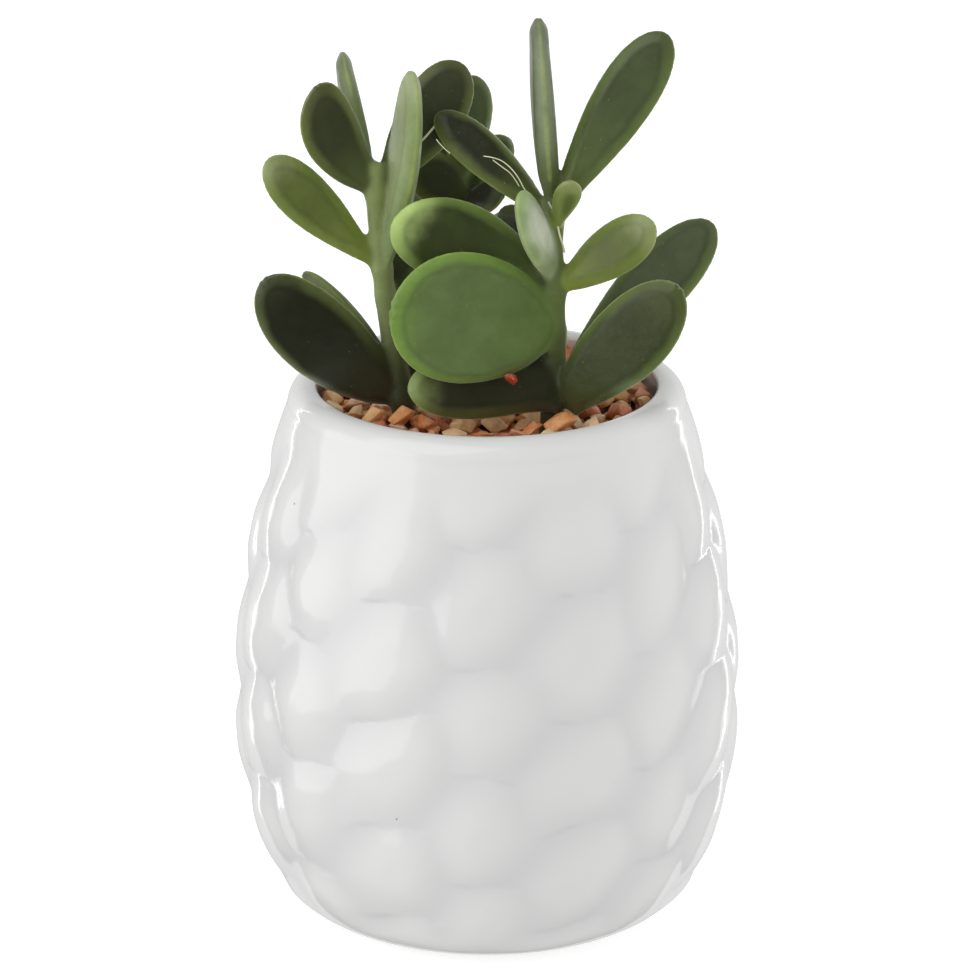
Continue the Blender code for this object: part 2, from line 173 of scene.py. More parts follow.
LEFT_LEAVES = (
    ((-12.6, -7.5, 80.8), (-32.4, -14.0, 101.3), 12.2, 3.4, (-0.1, -1.0, 0.1), -0.8, 1.2, 0.57, "shade"),
    ((-12.8, -6.5, 82.0), (-27.2, 2.5, 97.4), 8.0, 3.0, (0.6, 0.6, 0.5), 0.5, 0.0, 0.62, "deep"),
    ((-15.2, -7.5, 101.3), (-31.6, -11.5, 118.6), 7.6, 2.9, (-0.2, -0.9, 0.5), -0.8, 0.3, 0.68, "light"),
    ((-16.4, -7.5, 112.8), (-24.2, -13.0, 130.0), 8.8, 3.3, (0.35, -0.95, 0.1), -1.0, 1.3, 0.60, "dark"),
    ((-17.1, -7.2, 115.5), (-21.0, -1.5, 132.0), 7.5, 2.9, (-1.0, -0.12, 0.0), 0.4, 0.0, 0.62, "grey"),
    ((-15.0, -7.8, 101.0), (-10.8, -8.5, 130.9), 8.6, 3.3, (-0.93, -0.36, 0.0), -0.7, 0.0, 0.62, "pale"),
    ((-16.0, -7.0, 112.5), (-3.6, 1.5, 129.5), 9.4, 3.0, (0.1, -0.95, 0.3), 0.6, -0.3, 0.66, "dark"),
    ((-12.6, -7.0, 80.8), (-12.0, 1.5, 101.3), 8.0, 3.0, (0.6, 0.75, 0.3), 0.8, 0.0, 0.62, "shade"),
    ((-14.8, -7.2, 96.5), (-11.0, 4.0, 102.5), 7.2, 2.9, (0.3, -0.3, 0.9), 0.5, 0.0, 0.64, "deep"),
)
LEFT_STEM = Stem(
    "stem_left",
    ((-12.2, -7.5, 79.0), (-13.6, -7.5, 88.0), (-14.8, -7.5, 96.3), (-15.7, -7.5, 105.0),
     (-16.6, -7.5, 117.6)),
    (1.75, 1.6, 1.45, 1.35, 1.35),
    [Leaf(*row) for row in LEFT_LEAVES],
    SHEEN_LIT_STEM_TONE,
)
RIGHT_LEAVES = (
    ((10.9, -12.2, 85.0), (-11.5, -16.8, 85.7), 9.6, 3.2, (-0.15, -0.95, 0.35), -0.6, 0.0, 0.58, "low", 5.0),
    ((10.6, -11.9, 81.8), (27.6, -20.0, 102.0), 11.4, 3.3, (-0.22, -0.95, 0.2), 0.8, -0.4, 0.60, "deep", 3.2),
    ((9.8, -10.7, 82.5), (33.2, 3.0, 105.0), 10.0, 3.1, (-0.25, -0.88, 0.35), 0.6, 0.0, 0.66, "dusk"),
    ((10.6, -12.0, 92.8), (-13.7, -21.0, 99.2), 19.4, 3.6, (0.12, -1.0, 0.12), -0.6, 0.0, 0.57, "broad"),
    ((9.7, -11.2, 99.0), (-13.6, -15.2, 110.3), 12.2, 3.3, (-0.1, -0.95, 0.3), -0.8, -0.9, 0.62, "brown"),
    ((9.7, -10.8, 98.8), (24.0, -16.5, 110.5), 7.8, 3.0, (0.0, -0.85, 0.5), 0.4, 0.0, 0.66, "light"),
    ((9.7, -10.5, 99.0), (2.3, -4.5, 109.5), 7.0, 3.0, (-0.5, -0.8, 0.3), 0.4, 0.0, 0.62, "dark"),
    ((9.2, -11.6, 101.5), (4.6, -17.2, 115.2), 7.0, 3.1, (0.9, -0.42, 0.1), 0.3, 0.4, 0.58, "bloom"),
    ((9.5, -11.0, 110.5), (7.3, -8.5, 138.7), 8.6, 3.3, (-1.0, -0.08, 0.0), 0.3, 0.0, 0.70, "edge"),
    ((9.3, -11.2, 110.0), (25.7, -6.5, 136.0), 8.8, 3.2, (-0.15, -0.98, 0.1), 0.6, 0.2, 0.68, "dusk"),
    ((9.6, -11.4, 108.0), (12.2, -15.0, 116.4), 4.2, 3.0, (0.3, -0.9, 0.4), 0.2, 0.0, 0.72, "light"),
    ((9.5, -10.8, 109.5), (-7.3, -4.5, 123.6), 6.8, 2.9, (0.3, -0.8, 0.4), 0.6, 0.0, 0.66, "night"),
    ((9.8, -10.6, 86.0), (7.0, 2.0, 93.0), 7.4, 2.9, (0.0, -0.4, 0.9), 0.5, 0.0, 0.64, "deep"),
)
RIGHT_STEM = Stem(
    "stem_right",
    ((9.5, -11.0, 79.0), (9.8, -11.0, 88.0), (9.8, -11.0, 98.0), (9.6, -11.0, 106.0),
     (9.5, -11.0, 112.5)),
    (1.7, 1.6, 1.5, 1.35, 1.3),
    [Leaf(*row) for row in RIGHT_LEAVES],
    GREEN_STEM_TONE,
)
BACK_LEAVES = (
    ((-4.4, 5.4, 109.5), (-1.9, 9.0, 125.8), 7.4, 3.0, (0.4, -0.9, 0.1), 0.5, 0.0, 0.66, "dusk"),
    ((-4.0, 5.4, 108.6), (3.4, 12.5, 115.2), 5.8, 2.8, (0.3, -0.8, 0.4), 0.4, 0.0, 0.62, "deep"),
    ((-3.2, 5.4, 107.2), (2.6, 0.4, 110.0), 6.8, 2.8, (0.2, -0.7, 0.7), 0.4, 0.0, 0.62, "shade"),
    ((-2.2, 5.4, 106.0), (-11.6, 2.0, 114.0), 8.0, 2.9, (0.2, -0.8, 0.5), 0.5, -0.6, 0.62, "dark"),
    ((-4.6, 5.6, 110.0), (-9.5, 11.0, 125.0), 7.4, 3.0, (0.5, -0.8, 0.3), 0.5, 0.0, 0.66, "deep"),
    ((-1.2, 5.6, 96.0), (4.6, 17.0, 103.0), 8.0, 3.0, (-0.5, -0.6, 0.6), 0.6, 0.0, 0.66, "light"),
    ((-1.2, 5.6, 95.0), (-12.0, 15.5, 106.0), 8.4, 3.1, (0.5, -0.6, 0.6), 0.6, 0.0, 0.66, "dusk"),
    ((-1.2, 5.4, 84.0), (8.6, 19.0, 90.5), 9.0, 3.2, (-0.4, -0.5, 0.7), 0.6, 0.0, 0.64, "light"),
    ((-1.2, 5.4, 83.5), (-15.5, 13.5, 93.0), 9.0, 3.2, (0.4, -0.5, 0.7), 0.6, 0.0, 0.64, "deep"),
)
BACK_STEM = Stem(
    "stem_back",
    ((-1.2, 5.0, 79.0), (-1.0, 5.2, 90.0), (-1.2, 5.4, 100.0), (-2.6, 5.4, 106.0),
     (-5.0, 5.4, 111.0)),
    (1.6, 1.5, 1.35, 1.25, 1.15),
    [Leaf(*row) for row in BACK_LEAVES],
    GREEN_STEM_TONE,
)
STEMS = (LEFT_STEM, RIGHT_STEM, BACK_STEM)


def from_display(colour):
    """Display values 0 to 255 as linear light with full alpha."""
    shares = [value / 255.0 for value in colour]
    linear = [s / 12.92 if s <= 0.04045 else ((s + 0.055) / 1.055) ** 2.4 for s in shares]
    return (*linear, 1.0)


class Value:
    """A socket's value, with arithmetic that adds the Math nodes it needs."""

    def __init__(self, graph, socket):
        self.graph = graph
        self.socket = socket

    def math(self, operation, *others):
        return self.graph.math(operation, self, *others)

    def __add__(self, other):
        return self.math("ADD", other)

    __radd__ = __add__

    def __sub__(self, other):
        return self.math("SUBTRACT", other)

    def __rsub__(self, other):
        return self.graph.math("SUBTRACT", other, self)

    def __mul__(self, other):
        return self.math("MULTIPLY", other)

    __rmul__ = __mul__

    def __truediv__(self, other):
        return self.math("DIVIDE", other)

    def __rtruediv__(self, other):
        return self.graph.math("DIVIDE", other, self)

    def clip(self):
        return self.math("MINIMUM", 1.0).math("MAXIMUM", 0.0)

    def rise(self, low, high):
        """Nothing below low, all above high, and a soft step between."""
        x = ((self - low) / (high - low)).clip()
        return x * x * (3.0 - 2.0 * x)


class Graph:
    """Adds nodes to a node tree."""

    def __init__(self, tree):
        self.tree = tree

    def node(self, kind, settings=None, values=None):
        """A node of a type, with its settings and then its sockets' values or links."""
        made = self.tree.nodes.new(kind)
        for name, setting in (settings or {}).items():
            if name == "stops":
                self.set_stops(made.color_ramp, setting)
            else:
                setattr(made, name, setting)
        for key, value in (values or {}).items():
            if isinstance(value, Value):
                self.tree.links.new(value.socket, made.inputs[key])
            else:
                made.inputs[key].default_value = value
        return made

    def value(self, kind, settings=None, values=None, output=0):
        return Value(self, self.node(kind, settings, values).outputs[output])

    def set_stops(self, ramp, stops):
        while len(ramp.elements) < len(stops):
            ramp.elements.new(0.5)
        for element, (place, colour) in zip(ramp.elements, stops):
            element.position = place
            element.color = from_display(colour)

    def math(self, operation, *others):
        return self.value("ShaderNodeMath", {"operation": operation}, dict(enumerate(others)))

    def scale(self, vector, share):
        """A vector or colour times a number."""
        values = {0: vector, "Scale": share}
        return self.value("ShaderNodeVectorMath", {"operation": "SCALE"}, values, "Vector")

    def join(self, x, y, z):
        return self.value("ShaderNodeCombineXYZ", None, {"X": x, "Y": y, "Z": z})

    def split(self, vector):
        parts = self.node("ShaderNodeSeparateXYZ", None, {"Vector": vector})
        return [Value(self, parts.outputs[axis]) for axis in range(3)]

    def mix(self, a, b, share):
        """Colour a where share is nothing and b where it is all; plain colours are display values."""
        a, b = [colour if isinstance(colour, Value) else from_display(colour) for colour in (a, b)]
        values = {"Factor": share, 6: a, 7: b}
        return self.value("ShaderNodeMix", {"data_type": "RGBA"}, values, 2)


class Finish(Graph):
    """A material with one Principled shader, whose patterns are laid out in millimetres on the piece."""

    def __init__(self, name):
        self.material = bpy.data.materials.new(name)
        self.material.use_nodes = True
        super().__init__(self.material.node_tree)
        self.shader = self.tree.nodes["Principled BSDF"]
        self.place = self.scale(self.value("ShaderNodeTexCoord", output="Object"), 1.0 / MM)

    def noise(self, size, detail=3.0, roughness=0.5):
        """Noise from 0 to 1 whose patches are about size millimetres across."""
        values = {"Vector": self.place, "Scale": 1.0 / size, "Detail": detail, "Roughness": roughness}
        return self.value("ShaderNodeTexNoise", None, values, "Fac")

    def cells(self, size):
        """Distance from the middle of a cell, for cells about size millimetres across."""
        values = {"Vector": self.place, "Scale": 1.0 / size}
        return self.value("ShaderNodeTexVoronoi", {"feature": "F1"}, values, "Distance")

    def attribute(self, name, output="Fac"):
        return self.value("ShaderNodeAttribute", {"attribute_name": name}, None, output)

    def bump(self, height, distance, normal=None):
        """Fine relief in the shine, with its height in millimetres, over other relief if given."""
        values = {"Height": height, "Distance": distance * MM, "Strength": 1.0}
        if normal:
            values["Normal"] = normal
        return self.value("ShaderNodeBump", None, values, "Normal")

    def set(self, **values):
        """Links or sets the shader's sockets, named with _ for a space."""
        for name, value in values.items():
            socket = self.shader.inputs[name.replace("_", " ")]
            if isinstance(value, Value):
                self.tree.links.new(value.socket, socket)
            else:
                socket.default_value = value


def add_object(name, mesh):
    obj = bpy.data.objects.new(name, mesh)
    bpy.context.scene.collection.objects.link(obj)
    return obj


def evaluated_mesh(obj):
    """A plain copy of an object's mesh with its modifiers worked in."""
    bpy.context.view_layer.update()
    depsgraph = bpy.context.evaluated_depsgraph_get()
    return bpy.data.meshes.new_from_object(obj.evaluated_get(depsgraph))


def bake(obj):
    """Turns an object's modifiers into its own mesh."""
    mesh = evaluated_mesh(obj)
    obj.modifiers.clear()
    old = obj.data
    obj.data = mesh
    bpy.data.meshes.remove(old)
    mesh.name = obj.name


def mesh_from(shape, name):
    """A mesh of a shape, which is then given up."""
    mesh = bpy.data.meshes.new(name)
    shape.to_mesh(mesh)
    shape.free()
    return mesh


def dress(mesh, material):
    """Leaves a mesh with one material."""
    mesh.materials.clear()
    mesh.materials.append(material)


def corners_of(mesh):
    """The corners of a mesh as rows of x, y and z."""
    places = np.empty(len(mesh.vertices) * 3)
    mesh.vertices.foreach_get("co", places)
    return places.reshape(-1, 3)


def store(mesh, name, values):
    """Keeps a number, or a row of three, for each corner of a mesh."""
    rows = np.ndim(values) > 1
    mark = mesh.attributes.new(name, "FLOAT_VECTOR" if rows else "FLOAT", "POINT")
    mark.data.foreach_set("vector" if rows else "value", np.ravel(values))


def band_faces(rings, sides):
    """Four-cornered faces between rings of corners that follow each other."""
    faces = []
    for row in range(rings - 1):
        low = row * sides
        high = low + sides
        for k in range(sides):
            after = (k + 1) % sides
            faces.append((low + k, low + after, high + after, high + k))
    return faces


def pole_faces(rings, sides):
    """Three-cornered faces from the first and last ring to the two end points that follow the rings."""
    end = rings * sides
    top = end - sides
    faces = []
    for k in range(sides):
        after = (k + 1) % sides
        faces.append((end, after, k))
        faces.append((end + 1, top + k, top + after))
    return faces


def smoothstep(low, high, value):
    x = np.clip((value - low) / (high - low), 0.0, 1.0)
    return x * x * (3.0 - 2.0 * x)


def outer_radius(z):
    """The pot's outline over the bumps: a rounded foot, the belly, and a slow curve in to the rim."""
    if z < BELLY_HEIGHT:
        below = 1.0 - z / BELLY_HEIGHT
        return FOOT_RADIUS + (BELLY_RADIUS - FOOT_RADIUS) * (1.0 - below ** 2) ** FOOT_ROUNDING
    above = (z - BELLY_HEIGHT) / (POT_HEIGHT - BELLY_HEIGHT)
    return BELLY_RADIUS - (BELLY_RADIUS - RIM_RADIUS) * above ** 2


def inner_radius(z):
    return outer_radius(z) - WALL


def cavity_outline(top, clearance, rows, corner_steps):
    """Half outline of the pot's inside, floor first, drawn in by a clearance, up to a height."""
    corner_z = FLOOR + FLOOR_CORNER
    corner_x = inner_radius(corner_z) - FLOOR_CORNER
    reach = FLOOR_CORNER - clearance
    points = [(0.0, FLOOR + clearance)]
    for step in range(corner_steps):
        turn = 0.5 * math.pi * (1.0 - step / corner_steps)
        points.append((corner_x + reach * math.cos(turn), corner_z - reach * math.sin(turn)))
    for row in range(rows + 1):
        z = corner_z + (top - corner_z) * row / rows
        points.append((inner_radius(z) - clearance, z))
    return points


def pot_outline():
    """Half outline of the pot, from the floor's middle up the inside, over the lip and down outside."""
    inside_z = POT_HEIGHT - LIP_INSIDE
    lip_z = POT_HEIGHT - LIP_DROP
    points = cavity_outline(inside_z, 0.0, INSIDE_ROWS, CORNER_STEPS)
    crest = inner_radius(inside_z) + LIP_INSIDE
    for step in range(1, LIP_STEPS):
        turn = 0.5 * math.pi * step / LIP_STEPS
        points.append((crest - LIP_INSIDE * math.cos(turn), inside_z + LIP_INSIDE * math.sin(turn)))
    reach = outer_radius(lip_z) - crest
    for step in range(LIP_STEPS):
        turn = 0.5 * math.pi * step / LIP_STEPS
        points.append((crest + reach * math.sin(turn), lip_z + LIP_DROP * math.cos(turn)))
    for row in range(OUTSIDE_ROWS):
        z = lip_z - (lip_z - FOOT_TOP) * row / (OUTSIDE_ROWS - 1)
        points.append((outer_radius(z), z))
    for row in range(1, FOOT_ROWS + 1):
        z = FOOT_TOP * (1.0 - row / (FOOT_ROWS + 1)) ** FOOT_CROWDING
        points.append((outer_radius(z), z))
    return points + [(FOOT_RADIUS, 0.0), (FOOT_RADIUS - FOOT_RING, 0.0), (0.0, 0.0)]


def turned(name, outline, steps):
    """Turns a half outline that starts and ends on the axis round +Z into a closed shell."""
    ring = outline[1:-1]
    turns = [(math.cos(math.tau * k / steps), math.sin(math.tau * k / steps)) for k in range(steps)]
    points = [(r * c * MM, r * s * MM, z * MM) for r, z in ring for c, s in turns]
    points += [(0.0, 0.0, outline[0][1] * MM), (0.0, 0.0, outline[-1][1] * MM)]
    mesh = bpy.data.meshes.new(name)
    mesh.from_pydata(points, [], band_faces(len(ring), steps) + pole_faces(len(ring), steps))
    shape = bmesh.new()
    shape.from_mesh(mesh)
    bmesh.ops.recalc_face_normals(shape, faces=shape.faces)
    shape.to_mesh(mesh)
    shape.free()
    mesh.shade_smooth()
    return add_object(name, mesh)


def new_geometry_tree(name, inputs):
    """A geometry node tree with a mesh in and out and the named inputs, and its graph."""
    tree = bpy.data.node_groups.new(name, "GeometryNodeTree")
    for way in ("INPUT", "OUTPUT"):
        tree.interface.new_socket("Geometry", in_out=way, socket_type="NodeSocketGeometry")
    for label, kind in inputs:
        tree.interface.new_socket(label, in_out="INPUT", socket_type=kind)
    graph = Graph(tree)
    start = graph.node("NodeGroupInput")
    given = {socket.name: Value(graph, socket) for socket in start.outputs if socket.name}
    return graph, given


def run_tree(obj, graph, values):
    """Puts a geometry node tree on an object with its inputs set, and works it in."""
    modifier = obj.modifiers.new("shape", "NODES")
    modifier.node_group = graph.tree
    for item in graph.tree.interface.items_tree:
        if item.in_out == "INPUT" and item.name in values:
            modifier[item.identifier] = values[item.name]
    bake(obj)


def stored_number(graph, name):
    """A number that was kept for each corner or point."""
    return graph.value("GeometryNodeInputNamedAttribute", {"data_type": "FLOAT"}, {"Name": name}, "Attribute")


def end_tree(graph, geometry, material):
    """Turns instances into plain mesh, sets the material and hands the geometry out."""
    real = graph.value("GeometryNodeRealizeInstances", None, {"Geometry": geometry})
    done = graph.value("GeometryNodeSetMaterial", None, {"Geometry": real, "Material": material})
    graph.node("NodeGroupOutput", None, {"Geometry": done})
    return graph


def relief_tree():
    """Presses the hollows between staggered bumps into a turned pot."""
    inputs = [(name, "NodeSocketFloat") for name in BUMPS] + [("Glaze", "NodeSocketMaterial")]
    graph, given = new_geometry_tree("pot_relief", inputs)
    place = graph.value("GeometryNodeInputPosition")
    x, y, z = [part / MM for part in graph.split(place)]
    radius = (x * x + y * y).math("SQRT")
    column = y.math("ARCTAN2", x) * given["Columns"] / math.tau
    middle = column.math("ROUND")
    waves = {"Vector": place, "Scale": STRAY_WAVES, "Detail": 1.0}
    drift = (graph.value("ShaderNodeTexNoise", None, waves, "Fac") - 0.5) * given["Unevenness"]
    nearest = None
    for offset in (-1.0, 0.0, 1.0):
        own = middle + offset
        half = own / 2.0
        shift = half - half.math("FLOOR")
        across = (column - own) / BUMP_WIDTH + drift
        up = (z - given["First row"]) / given["Pitch"] - shift + drift
        row = up - up.math("ROUND")
        away = (across * across + row * row - given["Slant"] * across * row).math("SQRT") / BUMP_REACH
        nearest = away if nearest is None else nearest.math("SMOOTH_MIN", away, given["Softness"])
    hollow = nearest.rise(given["Crown"], given["Reach"])
    fade = z.rise(*RELIEF_BOTTOM) * (1.0 - z.rise(*RELIEF_TOP))
    outside = stored_number(graph, "outside")
    inward = given["Depth"] * hollow * fade * outside
    share = inward * -MM / radius.math("MAXIMUM", TINY)
    push = graph.join(x * share, y * share, 0.0)
    moved = graph.value("GeometryNodeSetPosition", None, {"Geometry": given["Geometry"], "Offset": push})
    kept = graph.value("GeometryNodeStoreNamedAttribute", {"data_type": "FLOAT", "domain": "POINT"},
                       {"Geometry": moved, "Name": "hollow", "Value": hollow * fade * outside})
    return end_tree(graph, kept, given["Glaze"])


def make_pot(glaze):
    pot = turned("pot_glazed", pot_outline(), POT_TURNS)
    x, y, z = (corners_of(pot.data) / MM).T
    middle = np.array([inner_radius(height) + 0.5 * WALL for height in z])
    store(pot.data, "outside", ((np.hypot(x, y) > middle) & (z > 0.0)).astype(float))
    run_tree(pot, relief_tree(), {**BUMPS, "Glaze": glaze})
    pot.data.attributes.remove(pot.data.attributes["outside"])
    return pot


def glaze_finish():
    """White glaze, a little greyer in the hollows as painted shade, with a few iron specks and a bare foot.
    """
    glaze = Finish("white_glaze")
    hollow = glaze.attribute("hollow")
    _, _, z = glaze.split(glaze.place)
    cloud = glaze.noise(14.0, 2.0)
    # Greyer in the hollows, which is painted shade, and in random clouds
    grey = hollow * 0.7 + cloud * 0.3
    colour = glaze.mix((230, 230, 229), (218, 218, 218), grey)
    speck = 1.0 - glaze.cells(7.0).rise(0.012, 0.03)
    colour = glaze.mix(colour, (120, 112, 104), speck * 0.8)
    bare = 1.0 - z.rise(0.15, 0.5)
    colour = glaze.mix(colour, (214, 208, 198), bare)
    ripple = glaze.noise(5.0, 2.0)
    skin = glaze.noise(0.9, 2.0)
    glaze.set(
        Base_Color=colour,
        Roughness=0.1 + 0.06 * glaze.noise(9.0) + bare * 0.5,
        IOR=1.5,
        Coat_Weight=0.35 * (1.0 - bare),
        Coat_Roughness=0.08,
        Normal=glaze.bump(skin, 0.012, normal=glaze.bump(ripple, 0.12)),
    )
    return glaze.material


HOLE_SIDES = 32


def cut_stem_holes(obj):
    """Plain round holes that the stems stand in."""
    for stem in STEMS:
        x, y, _ = stem.path[0]
        radius = stem.radii[0] + GAP
        depth = POT_HEIGHT - STEM_FOOT + GAP
        shape = bmesh.new()
        bmesh.ops.create_cone(shape, cap_ends=True, segments=HOLE_SIDES, radius1=radius * MM,
                              radius2=radius * MM, depth=depth * MM)
        bmesh.ops.translate(shape, verts=shape.verts, vec=(x * MM, y * MM, (POT_HEIGHT - 0.5 * depth) * MM))
        cutter = add_object("stem_hole", mesh_from(shape, "stem_hole"))
        cut = obj.modifiers.new("hole", "BOOLEAN")
        cut.operation = "DIFFERENCE"
        cut.solver = "EXACT"
        cut.object = cutter
        bake(obj)
        bpy.data.objects.remove(cutter, do_unlink=True)


# Fineness of the filling; seed, depth and reach of the dents in its top
SOIL_TURNS = 96
SOIL_ROWS = 10
SOIL_CORNER_STEPS = 4
SOIL_RINGS = np.linspace(0.96, 0.04, 24)
CRUMBLE_SEED = 3
CRUMBLE_DEPTH = 0.5
CRUMBLE_REACH = 0.95


def make_soil(earth):
    """The filling, with its top pressed down a little here and there."""
    outline = cavity_outline(SOIL_TOP, GAP, SOIL_ROWS, SOIL_CORNER_STEPS)
    reach = outline[-1][0]
    outline += [(reach * share, SOIL_TOP) for share in SOIL_RINGS] + [(0.0, SOIL_TOP)]
    soil = turned("soil_fill", outline, SOIL_TURNS)
    rng = np.random.default_rng(CRUMBLE_SEED)
    top = [v for v in soil.data.vertices
           if v.co.z > (SOIL_TOP - TINY) * MM and v.co.xy.length < CRUMBLE_REACH * reach * MM]
    for vertex, drop in zip(top, rng.uniform(0.0, CRUMBLE_DEPTH, len(top))):
        vertex.co.z -= drop * MM
    cut_stem_holes(soil)
    dress(soil.data, earth)
    return soil


def soil_finish():
    earth = Finish("dark_soil")
    crumb = earth.noise(1.6, 6.0, 0.7)
    stops = [(0.3, (58, 44, 32)), (0.55, (88, 68, 50)), (0.8, (122, 98, 72))]
    earth.set(
        Base_Color=earth.value("ShaderNodeValToRGB", {"stops": stops}, {"Fac": crumb}),
        Roughness=0.85 + 0.1 * crumb,
        Normal=earth.bump(crumb, 0.6),
    )
    return earth.material


# Stone shapes one unit across: how many, corners, reach, joining of faces, wear, shares across and up, tilt
PEBBLE_SHAPES = 10
PEBBLE_CORNERS = 15
PEBBLE_REACH = (0.42, 0.54)
PEBBLE_JOIN = math.radians(14.0)
PEBBLE_WEAR = 0.1
PEBBLE_ACROSS = (0.72, 0.95)
PEBBLE_UP = (0.55, 0.78)
PEBBLE_TILT = 0.5
SHAPE_SEED = 5
PICK_SEED = 4


def pebble_shape(rng, name):
    """One crushed and tumbled stone: a hull of a few corners with worn edges."""
    shape = bmesh.new()
    for _ in range(PEBBLE_CORNERS):
        point = Vector((rng.gauss(0.0, 1.0), rng.gauss(0.0, 1.0), rng.gauss(0.0, 1.0))).normalized()
        shape.verts.new(point * rng.uniform(*PEBBLE_REACH))
    hull = bmesh.ops.convex_hull(shape, input=shape.verts)
    spare = [v for v in hull["geom_interior"] if isinstance(v, bmesh.types.BMVert)]
    bmesh.ops.delete(shape, geom=spare, context="VERTS")
    bmesh.ops.dissolve_limit(shape, angle_limit=PEBBLE_JOIN, verts=shape.verts, edges=shape.edges)
    bmesh.ops.bevel(shape, geom=shape.edges, offset=PEBBLE_WEAR, segments=2, profile=0.55, affect="EDGES",
                    clamp_overlap=True)
    squash = Vector((1.0, rng.uniform(*PEBBLE_ACROSS), rng.uniform(*PEBBLE_UP)))
    for vertex in shape.verts:
        vertex.co *= squash
    bmesh.ops.recalc_face_normals(shape, faces=shape.faces)
    mesh = mesh_from(shape, name)
    mesh.shade_smooth()
    return mesh


# Places of stones: turn from one to the next, straying and rounds; spacing, reach and depth of the middle as
# shares of width; radius kept free round a stem
GOLDEN_TURN = 2.39996
STRAY = 0.35
SPREAD_ROUNDS = 60
SPACING = 0.46
STONE_REACH = 0.42
STONE_SINK = 0.3
STEM_CLEARANCE = 1.9
SPREAD_SEED = 11


def spread(rng, layer):
    """Places of one layer's stones, relaxed so that they neither crowd nor leave gaps, clear of the stems."""
    reach = inner_radius(layer.top) - GAP
    count = layer.count
    places = []
    for k in range(count):
        out = reach * math.sqrt((k + 0.5) / count)
        turn = k * GOLDEN_TURN + layer.turn
        places.append((out * math.cos(turn), out * math.sin(turn)))
    places = np.array(places)
    places += rng.normal(0.0, STRAY, places.shape)
    sizes = rng.uniform(*layer.size, count)
    feet = np.array([stem.path[0][:2] for stem in STEMS])
    for _ in range(SPREAD_ROUNDS):
        offset = places[:, None] - places[None]
        away = np.linalg.norm(offset, axis=2) + np.eye(count) * FAR
        wanted = SPACING * (sizes[:, None] + sizes[None])
        push = np.clip(wanted - away, 0.0, None) / away
        places += 0.5 * (offset * push[..., None]).sum(axis=1)
        from_stem = places[:, None] - feet[None]
        near = np.linalg.norm(from_stem, axis=2)
        clear = np.clip(STEM_CLEARANCE + STONE_REACH * sizes[:, None] - near, 0.0, None) / near
        places += (from_stem * clear[..., None]).sum(axis=1)
        radius = np.linalg.norm(places, axis=1)
        limit = reach - STONE_REACH * sizes
        places *= np.minimum(1.0, limit / radius)[:, None]
    return places, sizes


# Layers of stones: how many, their widths, height of their tops, how far lower a top may be, and a turn
Layer = namedtuple("Layer", "count size top drop turn")
LAYERS = (
    Layer(130, (3.0, 4.6), 75.6, 0.5, 1.0),
    Layer(112, (3.4, 5.6), PEBBLE_TOP, 0.8, 0.0),
    Layer(190, (2.0, 3.2), PEBBLE_TOP - 1.6, 0.8, 2.0),
)
# Single stones laid on the bed, most of them round the stems, and a red chip between two leaves: place,
# width, height of the top and tone
HEAPED = (
    (11.0, -15.2, 6.0, 81.2, 0.32),
    (15.6, -14.6, 4.6, 80.6, 0.66),
    (6.6, -15.2, 3.8, 80.0, 0.25),
    (-12.8, -11.8, 5.0, 81.0, 0.3),
    (-8.8, -12.8, 4.4, 80.3, 0.14),
    (-17.0, -11.0, 4.6, 80.6, 0.45),
    (20.0, -8.6, 4.0, 80.6, 0.97),
    (3.2, 8.4, 4.6, 81.0, 0.0),
    (11.8, 20.0, 5.0, 80.6, 0.12),
    (3.4, -16.4, 2.8, 87.9, 0.0),
)


def gravel_tree():
    """Sets pebbles of a few shapes on points, each turned at random."""
    inputs = [("Pebbles", "NodeSocketCollection"), ("Seed", "NodeSocketInt"), ("Stone", "NodeSocketMaterial")]
    graph, given = new_geometry_tree("gravel_bed", inputs)
    shapes = graph.value("GeometryNodeCollectionInfo", None,
                         {"Collection": given["Pebbles"], "Separate Children": True, "Reset Children": True})
    pick = graph.value("FunctionNodeRandomValue", {"data_type": "INT"},
                       {4: 0, 5: PEBBLE_SHAPES - 1, "Seed": given["Seed"]}, 2)
    least = (-PEBBLE_TILT, -PEBBLE_TILT, 0.0)
    most = (PEBBLE_TILT, PEBBLE_TILT, math.tau)
    turn = graph.value("FunctionNodeRandomValue", {"data_type": "FLOAT_VECTOR"},
                       {0: least, 1: most, "Seed": given["Seed"] + 1.0}, 0)
    stones = graph.value("GeometryNodeInstanceOnPoints", None, {
        "Points": given["Geometry"], "Instance": shapes, "Pick Instance": True, "Instance Index": pick,
        "Rotation": turn, "Scale": stored_number(graph, "size") * MM,
    })
    return end_tree(graph, stones, given["Stone"])


